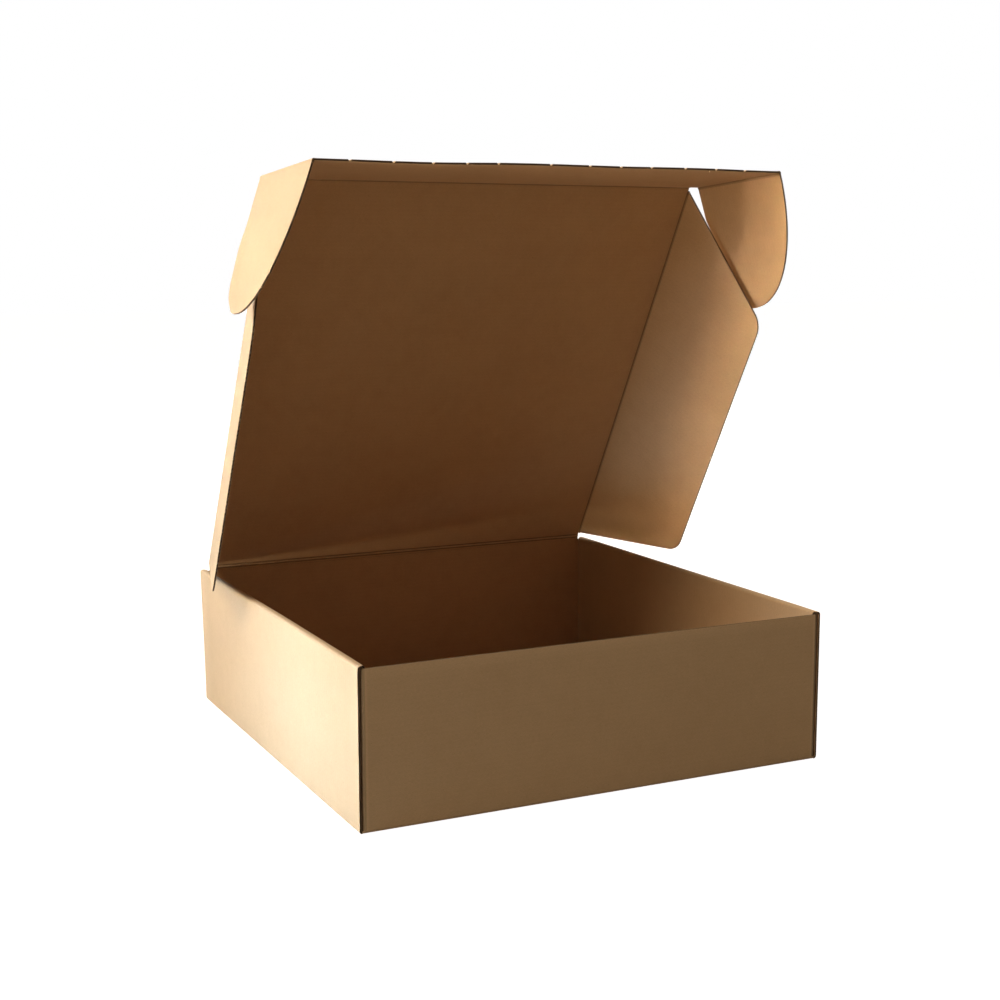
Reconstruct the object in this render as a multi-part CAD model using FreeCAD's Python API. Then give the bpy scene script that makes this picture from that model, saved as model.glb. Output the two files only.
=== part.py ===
# Corrugated mailer box with a roll-over tray and a hinged tuck lid.
#
# Everything is die-cut from one sheet of thin single-wall corrugated board.
# Origin: centre of the tray's underside. +Z is up, the front faces -Y.
# The box stands open: the lid leans over the tray, its side flaps hang outside
# the side walls, and the tuck flap and its two ears are folded part way.
# Each fold that moves is cut along its crease, so the panels are separate solids.

import FreeCAD, Part
import math
import os

# Board
BOARD = 1.5             # thickness of the board
FOLD_INNER = 0.5        # inner radius of a fold set by a crease
FOLD_OUTER = FOLD_INNER + BOARD
FOLD_START = 0.5        # flat strip of the base before an end wall's fold
LAYER_GAP = 0.3         # air between two layers that only lie on each other
CREASE_GAP = 0.08       # running clearance in a crease that folds one way
HINGE_GAP = 0.25        # running clearance in the lid's crease
OVERCUT = 1.0           # a cutter reaches this far past the board

# Tray, outside sizes
TRAY_WIDTH = 320.0
TRAY_DEPTH = 317.0
TRAY_HEIGHT = 98.5      # to the top of the rolled side walls
HALF_W = TRAY_WIDTH / 2
HALF_D = TRAY_DEPTH / 2
SIDE_INSET = 0.3        # side wall edges stand this far behind the front wall
FRONT_DROP = BOARD + LAYER_GAP      # front wall top below the rolled walls
FRONT_TOP = TRAY_HEIGHT - FRONT_DROP

# Rolled side wall: outer wall, slot, dust flap, air, inner wall
EAR_SLOT = 0.7          # slot between outer wall and dust flap, for the lid's ear
DUST_GAP = 0.4          # air between dust flap and inner wall
ROLL_WIDTH = 3 * BOARD + EAR_SLOT + DUST_GAP
DUST_X = HALF_W - BOARD - EAR_SLOT
INNER_X = HALF_W - ROLL_WIDTH
DUST_LENGTH = 104.0
DUST_TAPER = 9.0

# Tabs that lock the inner side walls in the base
TAB_COUNT = 2
TAB_LENGTH = 34.0
TAB_TAPER = 0.6
TAB_CLEAR = 0.25
TAB_PITCH = TRAY_DEPTH / 2
TAB_HEEL = 0.3          # tab ends this far above the underside

# Lid
LID_RISE = 1.5          # crease above the rolled walls
LID_SIDE_GAP = 0.2      # each side of the lid, inside the rolled walls
LID_FRONT_GAP = 0.95    # between the front wall and the tuck flap when shut
LID_OPEN = 59.7         # degrees up from the closed position
HINGE_Y = HALF_D - BOARD / 2
HINGE_Z = TRAY_HEIGHT + LID_RISE
LID_HALF = INNER_X - LID_SIDE_GAP       # from the middle to a side crease
LID_LENGTH = HINGE_Y + HALF_D + LID_FRONT_GAP   # back crease to front crease

# Lid side flaps
FLAP_SHORT = 2.5        # their depth is this much less than the tray's height
FLAP_DEPTH = TRAY_HEIGHT - FLAP_SHORT
FLAP_BACK = 3.5         # crease starts this far from the back crease
FLAP_FRONT = 3.0        # and ends this far from the front crease
FLAP_BACK_TAPER = 0.565     # set-back of the back edge per mm of depth
FLAP_FRONT_TAPER = 0.55
FLAP_ROUND = 15.0
FLAP_SPLAY_RIGHT = 16.0     # degrees out of square, away from the tray
FLAP_SPLAY_LEFT = 17.0

# Tuck flap
TUCK_INSET = 0.4        # ear crease inside the tray's outer wall
TUCK_SHORT = 0.25       # edge above the ground when shut
TUCK_SHOULDER = 2.4     # set-back of the part wider than the lid
TUCK_FOLD = 56.5        # degrees folded in from the plane of the lid
TUCK_HALF = HALF_W - TUCK_INSET
TUCK_DEPTH = HINGE_Z - BOARD / 2 - TUCK_SHORT

# Ears of the tuck flap
EAR_DEPTH = 89.0
EAR_ROUND_CENTRE = 35.0     # the long curve starts this far along the crease
EAR_STRAIGHT = 24.0         # straight part of the edge near the lid
EAR_STRAIGHT_LEAN = 0.6
EAR_TAPER = 16.5            # set-back of that edge at full depth
EAR_NOSE = 13.0             # radius of the nose
EAR_SPLAY_RIGHT = 15.0
EAR_SPLAY_LEFT = 19.0

X = FreeCAD.Vector(1, 0, 0)
Y = FreeCAD.Vector(0, 1, 0)
Z = FreeCAD.Vector(0, 0, 1)
ORIGIN = FreeCAD.Vector(0, 0, 0)


def box(x0, x1, y0, y1, z0, z1):
    """Block between two corners."""
    return Part.makeBox(x1 - x0, y1 - y0, z1 - z0, FreeCAD.Vector(x0, y0, z0))


def fuse(shapes):
    """One clean solid from shapes that meet."""
    return shapes[0].multiFuse(shapes[1:]).removeSplitter().Solids[0]


def less(shape, tools):
    """One solid that is left when the tools are cut away."""
    return shape.cut(tools).Solids[0]


def mirrored(shape, normal):
    """Copy on the other side of the middle plane with this normal."""
    return shape.mirror(ORIGIN, normal)


def strip(start, runs, to_space, sweep):
    """Folded strip of board: straight runs joined by quarter folds to the left.

    The outer face is on the right of the path. to_space turns a point of the
    section into a point in space, and sweep is the strip's length as a vector.
    """
    outer, inner = [], []
    at = FreeCAD.Vector(start[0], start[1], 0)
    ahead = FreeCAD.Vector(X)
    for number, run in enumerate(runs):
        left = FreeCAD.Vector(-ahead.y, ahead.x, 0)
        if run > 0:
            outer.append((at, at + ahead * run))
            inner.append((at + left * BOARD, at + ahead * run + left * BOARD))
            at = at + ahead * run
        if number < len(runs) - 1:
            centre = at + left * FOLD_OUTER
            middle = (ahead - left).normalize()
            for side, radius in ((outer, FOLD_OUTER), (inner, FOLD_INNER)):
                side.append((centre - left * radius, centre + middle * radius,
                             centre + ahead * radius))
            at = centre + ahead * FOLD_OUTER
            ahead = left
    path = outer + [(outer[-1][-1], inner[-1][-1])]
    path += [tuple(reversed(edge)) for edge in reversed(inner)]
    path.append((inner[0][0], outer[0][0]))
    edges = []
    for edge in path:
        points = [to_space(p) for p in edge]
        if len(points) == 3:
            edges.append(Part.Arc(*points).toShape())
        else:
            edges.append(Part.makeLine(*points))
    return Part.Face(Part.Wire(edges)).extrude(sweep)


def rounded(corners):
    """Closed wire through (x, y, radius) corners, each rounded by its radius."""
    count = len(corners)
    joints = []
    for i, (x, y, radius) in enumerate(corners):
        here = FreeCAD.Vector(x, y, 0)
        before = FreeCAD.Vector(*corners[i - 1][:2], 0) - here
        after = FreeCAD.Vector(*corners[(i + 1) % count][:2], 0) - here
        before.normalize()
        after.normalize()
        half = before.getAngle(after) / 2
        reach = radius / math.tan(half) if radius else 0
        middle = (before + after).normalize()
        near = radius / math.sin(half) - radius if radius else 0
        joints.append((here + before * reach, here + middle * near, here + after * reach))
    edges = []
    for i, (enter, middle, leave) in enumerate(joints):
        if enter.distanceToPoint(leave) > 1e-6:
            edges.append(Part.Arc(enter, middle, leave).toShape())
        following = joints[(i + 1) % count][0]
        if leave.distanceToPoint(following) > 1e-6:
            edges.append(Part.makeLine(leave, following))
    return Part.Wire(edges)


def panel(wire):
    """Flat panel of board from its outline: inner face at z = 0, outer below."""
    return Part.Face(wire).extrude(Z * -BOARD)


def bead(start, end, out, folded):
    """Rounded back of a crease, on the panel that stays.

    It fills the crease from the outer face of the panel round to the inner
    face of the next one, which is folded in by this many degrees. out points
    from the panel that stays to the crease.
    """
    along = (Z * -1).cross(out)
    if along.dot(end - start) < 0:
        start, end = end, start
    length = start.distanceToPoint(end)
    round_back = Part.makeCylinder(BOARD, length, ORIGIN, Z, 90 + folded)
    turned = FreeCAD.Rotation(Z * -1, out, along, "XYZ")
    round_back.Placement = FreeCAD.Placement(start, turned)
    return round_back


def hollow(length, start, along):
    """Room for a bead, taken from the panel that folds."""
    return Part.makeCylinder(BOARD + CREASE_GAP, length, start, along)


def side_wall():
    """Right side: fold, outer wall, roll-over top and inner wall with tabs."""
    sweep = Y * (TRAY_DEPTH - 2 * SIDE_INSET)
    start_y = SIDE_INSET - HALF_D
    top_run = ROLL_WIDTH - 2 * FOLD_OUTER
    inner_run = TRAY_HEIGHT - FOLD_OUTER - BOARD - LAYER_GAP
    wall = strip(
        (HALF_W - FOLD_OUTER, 0),
        (0, TRAY_HEIGHT - 2 * FOLD_OUTER, top_run, inner_run),
        lambda p: FreeCAD.Vector(p.x, start_y, p.y), sweep)
    # The roll-over is cut back on a slant so that it drops between the end walls.
    reach = BOARD + LAYER_GAP
    slant = Part.Face(Part.makePolygon([
        FreeCAD.Vector(HALF_W - FOLD_OUTER, HALF_D, BOARD + FOLD_INNER),
        FreeCAD.Vector(INNER_X + BOARD, HALF_D - reach, BOARD + FOLD_INNER),
        FreeCAD.Vector(INNER_X - BOARD, HALF_D - reach, BOARD + FOLD_INNER),
        FreeCAD.Vector(INNER_X - BOARD, HALF_D, BOARD + FOLD_INNER),
        FreeCAD.Vector(HALF_W - FOLD_OUTER, HALF_D, BOARD + FOLD_INNER),
    ])).extrude(Z * TRAY_HEIGHT)
    wall = less(wall, [slant, mirrored(slant, Y)])
    return fuse([wall] + tab_row(0.0))


def tab_row(clear):
    """Tabs under the right inner wall; with a clearance, the slots for them."""
    tabs = []
    foot = BOARD + LAYER_GAP
    low = -BOARD if clear else TAB_HEEL
    for i in range(TAB_COUNT):
        middle = (i - (TAB_COUNT - 1) / 2) * TAB_PITCH
        half = TAB_LENGTH / 2 + clear
        outline = Part.makePolygon([
            FreeCAD.Vector(INNER_X - clear, middle - half, foot),
            FreeCAD.Vector(INNER_X - clear, middle + half, foot),
            FreeCAD.Vector(INNER_X - clear, middle + half - TAB_TAPER, low),
            FreeCAD.Vector(INNER_X - clear, middle - half + TAB_TAPER, low),
            FreeCAD.Vector(INNER_X - clear, middle - half, foot),
        ])
        tabs.append(Part.Face(outline).extrude(X * (BOARD + 2 * clear)))
    return tabs


def end_wall(top):
    """Front wall with its two dust flaps, up to this height."""
    run = DUST_X - FOLD_OUTER
    half = strip(
        (0, -HALF_D), (run, DUST_LENGTH),
        lambda p: FreeCAD.Vector(p.x, p.y, FOLD_OUTER), Z * (FRONT_TOP - FOLD_OUTER))
    end_y = FOLD_OUTER + DUST_LENGTH - HALF_D
    side_x = DUST_X - BOARD - OVERCUT
    corners = []
    for low, high in ((FOLD_OUTER, FOLD_OUTER + DUST_TAPER), (FRONT_TOP, FRONT_TOP - DUST_TAPER)):
        corner = Part.Face(Part.makePolygon([
            FreeCAD.Vector(side_x, end_y, high),
            FreeCAD.Vector(side_x, end_y, low),
            FreeCAD.Vector(side_x, end_y - 2 * DUST_TAPER, low),
            FreeCAD.Vector(side_x, end_y, high),
        ])).extrude(X * (BOARD + 2 * OVERCUT))
        corners.append(corner)
    half = less(half, corners)
    fold_half = HALF_W - FOLD_OUTER - LAYER_GAP
    foot = strip(
        (HALF_D - FOLD_OUTER, 0), (0, FOLD_START),
        lambda p: FreeCAD.Vector(-fold_half, -p.x, p.y), X * 2 * fold_half)
    trim = box(run, HALF_W, -HALF_D - OVERCUT, FOLD_OUTER + OVERCUT - HALF_D,
               FOLD_OUTER, 2 * FOLD_OUTER)
    foot = less(foot, [trim, mirrored(trim, X)])
    pieces = [half, mirrored(half, X), foot]
    if top > FRONT_TOP:
        pieces.append(box(-LID_HALF, LID_HALF, -HALF_D, BOARD - HALF_D, FRONT_TOP, top))
        pieces.append(Part.makeCylinder(
            BOARD / 2, 2 * LID_HALF, FreeCAD.Vector(-LID_HALF, -HINGE_Y, top), X))
    return pieces


def tray():
    """Base, rolled side walls, and end walls with trapped dust flaps."""
    base = box(FOLD_OUTER - HALF_W, HALF_W - FOLD_OUTER,
               FOLD_OUTER - HALF_D, HALF_D - FOLD_OUTER, 0, BOARD)
    slots = tab_row(TAB_CLEAR)
    base = less(base, slots + [mirrored(s, X) for s in slots])
    side = side_wall()
    back = [mirrored(s, Y) for s in end_wall(HINGE_Z)]
    return fuse([base, side, mirrored(side, X)] + end_wall(FRONT_TOP) + back)


def lid_panel():
    """Lid with the rounded backs of its side creases and front crease."""
    start = BOARD / 2 + HINGE_GAP
    plate = box(-LID_HALF, LID_HALF, start, LID_LENGTH, -BOARD, 0)
    end = LID_LENGTH - FLAP_FRONT
    right = bead(FreeCAD.Vector(LID_HALF, FLAP_BACK, 0), FreeCAD.Vector(LID_HALF, end, 0),
                 X, 90 - FLAP_SPLAY_RIGHT)
    left = bead(FreeCAD.Vector(-LID_HALF, FLAP_BACK, 0), FreeCAD.Vector(-LID_HALF, end, 0),
                X * -1, 90 - FLAP_SPLAY_LEFT)
    front = bead(FreeCAD.Vector(-LID_HALF, LID_LENGTH, 0), FreeCAD.Vector(LID_HALF, LID_LENGTH, 0),
                 Y, TUCK_FOLD)
    return fuse([plate, right, left, front])


def lid_flap():
    """Right side flap laid flat, its crease on the Y axis."""
    back = FLAP_BACK
    front = LID_LENGTH - FLAP_FRONT
    outline = rounded([
        (0, back, 0),
        (FLAP_DEPTH, back + FLAP_BACK_TAPER * FLAP_DEPTH, FLAP_ROUND),
        (FLAP_DEPTH, front - FLAP_FRONT_TAPER * FLAP_DEPTH, FLAP_ROUND),
        (0, front, 0),
    ])
    return less(panel(outline), [hollow(LID_LENGTH, ORIGIN, Y)])


def tuck_flap():
    """Tuck flap laid flat, its crease on the X axis."""
    outline = rounded([
        (-LID_HALF - CREASE_GAP, 0, 0),
        (LID_HALF + CREASE_GAP, 0, 0),
        (LID_HALF + CREASE_GAP, TUCK_SHOULDER, 0),
        (TUCK_HALF, TUCK_SHOULDER, 0),
        (TUCK_HALF, TUCK_DEPTH, 0),
        (-TUCK_HALF, TUCK_DEPTH, 0),
        (-TUCK_HALF, TUCK_SHOULDER, 0),
        (-LID_HALF - CREASE_GAP, TUCK_SHOULDER, 0),
    ])
    plate = panel(outline)
    plate = less(plate, [hollow(2 * HALF_W, X * -HALF_W, X)])
    low = FreeCAD.Vector(TUCK_HALF, TUCK_SHOULDER, 0)
    high = FreeCAD.Vector(TUCK_HALF, TUCK_DEPTH, 0)
    right = bead(low, high, X, 90 - EAR_SPLAY_RIGHT)
    left = mirrored(bead(low, high, X, 90 - EAR_SPLAY_LEFT), X)
    return fuse([plate, right, left])


def ear():
    """Right ear laid flat, its crease on the Y axis."""
    reach = TUCK_DEPTH - EAR_ROUND_CENTRE
    curve = Part.Ellipse(ORIGIN, EAR_DEPTH, reach)
    quarter = curve.toShape(0, math.pi / 2)
    quarter.translate(Y * EAR_ROUND_CENTRE)
    slope = (EAR_TAPER - EAR_STRAIGHT_LEAN) / (EAR_DEPTH - EAR_STRAIGHT)
    knee = FreeCAD.Vector(EAR_STRAIGHT, TUCK_SHOULDER + EAR_STRAIGHT_LEAN, 0)
    corner = FreeCAD.Vector(EAR_DEPTH, TUCK_SHOULDER + EAR_TAPER, 0)
    back = (knee - corner).normalize()
    half = back.getAngle(Y) / 2
    span = EAR_NOSE / math.tan(half)
    enter = corner + back * span
    leave = corner + Y * span
    middle = corner + (back + Y).normalize() * (EAR_NOSE / math.sin(half) - EAR_NOSE)
    tip = FreeCAD.Vector(EAR_DEPTH, EAR_ROUND_CENTRE, 0)
    root_low = FreeCAD.Vector(0, TUCK_SHOULDER, 0)
    root_high = FreeCAD.Vector(0, TUCK_DEPTH, 0)
    edges = [
        Part.makeLine(root_low, knee),
        Part.makeLine(knee, enter),
        Part.Arc(enter, middle, leave).toShape(),
        Part.makeLine(leave, tip),
        quarter,
        Part.makeLine(root_high, root_low),
    ]
    plate = panel(Part.Wire(edges))
    return less(plate, [hollow(TUCK_DEPTH + 2 * OVERCUT, Y * -OVERCUT, Y)])


def turned(shape, axis, degrees, point):
    """Copy turned about a line through the origin, then moved to a point."""
    moved = shape.copy()
    spin = FreeCAD.Rotation(axis, degrees)
    moved.Placement = FreeCAD.Placement(point, spin).multiply(moved.Placement)
    return moved


def on_lid(shape):
    """Carries a shape from the flat lid's frame to the lid as it stands open."""
    lowered = turned(shape, X, 0, Z * (BOARD / 2))
    return turned(lowered, X, 180 - LID_OPEN, FreeCAD.Vector(0, HINGE_Y, HINGE_Z))


def on_tuck(shape):
    """Carries a shape from the flat tuck's frame to the folded tuck."""
    return on_lid(turned(shape, X, TUCK_FOLD, Y * LID_LENGTH))


def folded_pair(shape, half, splay_left, splay_right):
    """Left and right copies, folded in about creases this far from the middle."""
    left = turned(mirrored(shape, X), Y, 90 - splay_left, X * -half)
    right = turned(shape, Y, splay_right - 90, X * half)
    return left, right


flap_left, flap_right = folded_pair(lid_flap(), LID_HALF, FLAP_SPLAY_LEFT, FLAP_SPLAY_RIGHT)
ear_left, ear_right = folded_pair(ear(), TUCK_HALF, EAR_SPLAY_LEFT, EAR_SPLAY_RIGHT)

pieces = {
    "tray": tray(),
    "lid_panel": on_lid(lid_panel()),
    "lid_flap_left": on_lid(flap_left),
    "lid_flap_right": on_lid(flap_right),
    "tuck_flap": on_tuck(tuck_flap()),
    "ear_left": on_tuck(ear_left),
    "ear_right": on_tuck(ear_right),
}

os.makedirs("parts", exist_ok=True)
for name, shape in pieces.items():
    shape.exportStep("parts/" + name + ".step")
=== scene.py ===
# Corrugated mailer box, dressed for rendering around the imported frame.
#
# Every panel of the folded sheet is built as real single-wall board: two liners
# with a wavy middle between them. The flutes run across the box, along U.
# A point of the flat sheet is (U, V) in millimetres. Depth is measured from the
# inner face of the board to its outer face. Places are in millimetres too, and
# become metres when a mesh is made.

import bpy
import bmesh
import math
from mathutils import Matrix, Vector, noise


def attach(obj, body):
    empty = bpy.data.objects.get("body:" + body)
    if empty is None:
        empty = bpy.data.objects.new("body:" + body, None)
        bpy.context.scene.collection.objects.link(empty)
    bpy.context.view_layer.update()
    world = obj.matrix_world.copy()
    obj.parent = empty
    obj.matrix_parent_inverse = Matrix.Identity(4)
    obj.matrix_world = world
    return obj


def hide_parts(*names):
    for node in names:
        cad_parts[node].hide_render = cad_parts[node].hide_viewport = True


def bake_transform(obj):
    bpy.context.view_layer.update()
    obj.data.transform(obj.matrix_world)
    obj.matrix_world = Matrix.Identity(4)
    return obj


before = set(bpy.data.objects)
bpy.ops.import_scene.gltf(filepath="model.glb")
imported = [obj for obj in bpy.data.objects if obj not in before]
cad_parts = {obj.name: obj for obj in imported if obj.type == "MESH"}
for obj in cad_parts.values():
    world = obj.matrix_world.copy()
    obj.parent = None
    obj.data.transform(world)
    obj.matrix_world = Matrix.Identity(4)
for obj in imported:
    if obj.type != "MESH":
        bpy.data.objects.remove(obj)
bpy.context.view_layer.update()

MM = 0.001

# Board
BOARD = 1.5
LINER = 0.24            # thickness of one liner
FLUTE = 0.18            # thickness of the wavy middle
PITCH = 3.3             # from flute to flute
FLUTE_STEPS = 6         # facets per flute
FOLD_INNER = 0.5
FOLD_OUTER = BOARD + FOLD_INNER
FOLD_MIDDLE = FOLD_INNER + BOARD / 2
FOLD_LENGTH = FOLD_MIDDLE * math.pi / 2
CREASE_GAP = 0.08       # from a crease to the folded panel's inner liner
SCORE_DEPTH = 0.18      # groove of a crease on the inner face
SCORE_WIDTH = 0.5       # reach of the groove and its painted shade from the crease
EDGE_PINCH = 0.2        # share of the thickness lost at a cut edge
EDGE_PINCH_REACH = 0.7
EDGE_WEAR_REACH = 1.6
FOLD_STEP = 0.4         # mesh spacing across a fold
PANEL_STEP = 17.0       # mesh spacing along a panel
BEAD_STEP = 9.0         # degrees between the facets of a crease's back
BEAD_WEAR = 0.55
BEAD_SHADE = 0.35       # painted shade of a crease where the folded panel starts
SHARP_ANGLE = 32.0      # degrees from which an edge is shaded sharp

# Tray
HALF_W = 160.0
HALF_D = 158.5
TRAY_HEIGHT = 98.5
FRONT_TOP = 96.7
SIDE_INSET = 0.3
DUST_X = 157.8
INNER_X = 154.4
DUST_LENGTH = 104.0
DUST_TAPER = 9.0
TAB_MIDDLE = 79.25
TAB_HALF = 17.0
TAB_TAPER = 0.6
TAB_CLEAR = 0.25
TAB_ROWS = ((0.0, 1.85), (0.5, 1.05), (1.0, 0.3))      # share of a tab, its height
ROLL_FOOT = 0.3         # the inner wall ends this far above the base
ROLL_SET_BACK = 1.8     # the roll-over is cut on a slant at its ends
WALL_BOW = 0.5          # the end walls lean in by this at the top
WALL_RIPPLE = 0.25
SIDE_SWELL = 0.45
SIDE_PRESS = 0.15       # the outer side walls lie this far inside their solid
CORNER_LEAN = 1.8       # the back left corner stands out by this

# Lid
HINGE_Y = 157.75
HINGE_Z = 100.0
LID_HALF = 154.2
LID_LENGTH = 317.2
LID_OPEN = 59.7
HINGE_REACH = 3.0       # the soft hinge strip reaches this far both ways
HINGE_SCORES = (-0.40, 0.40)            # their places, in shares of the reach
HINGE_SCORE_WIDTH = 0.17
HINGE_SCORE_DEPTH = 0.40
HINGE_RAISE = 0.25      # height of the board between the two scores
LID_RIPPLE = 0.9
LID_BOW = 0.25
FLAP_DEPTH = 96.0
FLAP_BACK = 3.5
FLAP_FRONT = 3.0
FLAP_BACK_TAPER = 0.565
FLAP_FRONT_TAPER = 0.55
FLAP_ROUND = 15.0
FLAP_SPLAY = {"left": 17.0, "right": 16.0}
FLAP_CURL = 0.4
FLAP_TRIM = 0.3         # the flap's ends stay this far inside its outline
FLAP_ROWS = 6.6
TUCK_HALF = 159.6
TUCK_DEPTH = 99.0
TUCK_SHOULDER = 2.4
TUCK_FOLD = 56.5
TUCK_CURL = 0.7
NICKS = (-138.0, -111.0, -86.0, -64.0, -43.5, -8.0, 19.0, 41.0, 63.0, 88.0, 111.0, 133.0)
NICK_DEPTH = 0.7
NICK_CRUSH = 0.85       # share of the thickness lost in a nick
EAR_DEPTH = 89.0
EAR_ROUND_CENTRE = 35.0
EAR_STRAIGHT = 24.0
EAR_STRAIGHT_LEAN = 0.6
EAR_TAPER = 16.5
EAR_NOSE = 13.0
EAR_SPLAY = {"left": 19.0, "right": 15.0}
EAR_TRIM = 0.15
EAR_ROWS = 2.2
EAR_BEND = 0.26         # slope of the bent strip beside the lid
EAR_BEND_LINE = 0.30    # slope of the line that it bends along

# Flat-sheet places of the panels, for one unbroken paper pattern
WALL_V = HALF_D - FOLD_OUTER + FOLD_LENGTH
LID_V = WALL_V + HINGE_Z - FOLD_OUTER
TUCK_V = LID_V + LID_LENGTH

OUTER, INNER, CORE = 0, 1, 2


def turn(degrees, axis):
    return Matrix.Rotation(math.radians(degrees), 4, axis)


def shift(x, y, z):
    return Matrix.Translation((x, y, z))


ON_LID = shift(0, HINGE_Y, HINGE_Z) @ turn(180 - LID_OPEN, "X") @ shift(0, 0, BOARD / 2)
ON_TUCK = ON_LID @ shift(0, LID_LENGTH, 0) @ turn(TUCK_FOLD, "X")


def smooth(low, high, x):
    """0 below low, 1 above high, eased between."""
    t = min(max((x - low) / (high - low), 0.0), 1.0)
    return t * t * (3 - 2 * t)


def steps(low, high, size):
    """Evenly spaced values from low to high, no more than size apart."""
    count = max(1, math.ceil((high - low) / size - 1e-6))
    return [low + (high - low) * i / count for i in range(count + 1)]


def refined(values, size):
    """The same values with more between them."""
    line = []
    for low, high in zip(values, values[1:]):
        line += steps(low, high, size)[:-1]
    return line + [values[-1]]


class Sheet:
    """Gathers the plates of one mesh."""

    def __init__(self):
        self.points = []
        self.flat = []
        self.wear_and_highlight = []
        self.crease = []
        self.faces = []
        self.kinds = []

    def point(self, place, flat, wear_and_highlight, crease=0.0):
        self.points.append(place * MM)
        self.flat.append(flat)
        self.wear_and_highlight.append(wear_and_highlight)
        self.crease.append(crease)
        return len(self.points) - 1

    def face(self, corners, kind):
        corners = list(dict.fromkeys(corners))
        if len(corners) > 2:
            self.faces.append(corners)
            self.kinds.append(kind)

    def shell(self, top, bottom, kinds, cells=None):
        """Closed plate between two grids of points. cells[i][j] keeps a cell."""
        columns, rows = len(top) - 1, len(top[0]) - 1

        def kept(i, j):
            inside = 0 <= i < columns and 0 <= j < rows
            return inside and (cells is None or cells[i][j])

        for i in range(columns):
            for j in range(rows):
                if not kept(i, j):
                    continue
                ring = [(i, j), (i + 1, j), (i + 1, j + 1), (i, j + 1)]
                self.face([top[a][b] for a, b in ring], kinds[0])
                self.face([bottom[a][b] for a, b in reversed(ring)], kinds[1])
                beyond = [(i, j - 1), (i + 1, j), (i, j + 1), (i - 1, j)]
                for (a, b), (c, d), next_cell in zip(ring, ring[1:] + ring[:1], beyond):
                    if not kept(*next_cell):
                        self.face([top[c][d], top[a][b], bottom[a][b], bottom[c][d]], CORE)


def board(sheet, place, columns, rows, flat, rim, solid=None, score_and_shade=None, shaded_liner=INNER,
          fold_highlight=None):
    """Real board over a grid: inner liner, wavy middle, outer liner.

    flat(c, r, layer) gives the point of the flat sheet, and place(u, v, depth)
    puts it in space. rim(c, r) is its distance from a cut edge, and solid(c, r)
    says whether there is board at the middle of a cell. score_and_shade(c, r) is 1
    in the painted shade line of a crease, on the liner named by shaded_liner, and
    the line is also a groove on the inner liner. fold_highlight(c, r) is a thin pale
    line along a fold, a painted highlight carried with the edge wear.
    """
    middle = BOARD / 2
    swing = middle - LINER - FLUTE / 2
    fine = refined(rows, PITCH / FLUTE_STEPS)

    def pinched(depth, edge):
        thinner = EDGE_PINCH * math.exp(-edge / EDGE_PINCH_REACH)
        return middle + (depth - middle) * (1 - thinner)

    layers = (
        (INNER, rows, columns, (0.0, LINER), (INNER, CORE)),
        (CORE, fine, columns, (middle - FLUTE / 2, middle + FLUTE / 2), (CORE, CORE)),
        (OUTER, rows, columns, (BOARD, BOARD - LINER), (OUTER, CORE)),
    )
    for layer, lines, ways, depths, kinds in layers:
        grids = []
        for depth in depths:
            grid = []
            for c in ways:
                line = []
                for r in lines:
                    u, v = flat(c, r, layer)
                    edge = rim(c, r)
                    if layer == CORE:
                        wave = swing * math.cos(2 * math.pi * v / PITCH)
                        at = pinched(depth + wave, edge)
                    else:
                        at = pinched(depth, edge)
                    groove_and_shade = score_and_shade(c, r) if score_and_shade and layer == shaded_liner else 0.0
                    if shaded_liner == INNER:
                        at += SCORE_DEPTH * groove_and_shade
                    paler = math.exp(-edge / EDGE_WEAR_REACH)
                    if fold_highlight:
                        paler = max(paler, fold_highlight(c, r))
                    line.append(sheet.point(place(u, v, at), (u, v), paler, groove_and_shade))
                grid.append(line)
            grids.append(grid)
        cells = None
        if solid is not None:
            cells = [[solid((a + b) / 2, (p + q) / 2) for p, q in zip(lines, lines[1:])]
                     for a, b in zip(ways, ways[1:])]
        sheet.shell(grids[0], grids[1], kinds, cells)


def bead(sheet, at, low, high, folded, flat):
    """Rounded back of a crease: a solid sector about the crease line.

    In the frame at, the crease is the Y axis and the panel that stays is at x < 0.
    """
    turns = steps(0.0, 90.0 + folded, BEAD_STEP)
    rows = steps(low, high, 12.0)
    last = len(turns) - 1
    # The crease line gets full painted shade, and the last row of the back, where the folded
    # panel starts, a lighter painted shade.
    arc, axis = [], []
    for i, degrees in enumerate(turns):
        angle = math.radians(degrees)
        x, z = BOARD * math.sin(angle), -BOARD * math.cos(angle)
        paler = BEAD_WEAR * math.sin(angle) ** 2
        shade = BEAD_SHADE if i == last else 0.0
        arc.append([sheet.point(at @ Vector((x, y, z)), flat(BOARD * angle, y), paler, shade)
                    for y in rows])
        axis.append([sheet.point(at @ Vector((0, y, 0)), flat(0, y), 0.0, 1.0) for y in rows])
    for i in range(last):
        for j in range(len(rows) - 1):
            sheet.face([arc[i][j], arc[i][j + 1], arc[i + 1][j + 1], arc[i + 1][j]], OUTER)
        for j, way in ((0, 1), (len(rows) - 1, -1)):
            sheet.face([axis[0][j], arc[i][j], arc[i + 1][j]][::way], CORE)
    for j in range(len(rows) - 1):
        sheet.face([arc[last][j], arc[last][j + 1], axis[0][j + 1], axis[0][j]], INNER)
        sheet.face([arc[0][j + 1], arc[0][j], axis[0][j], axis[0][j + 1]], CORE)


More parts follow.
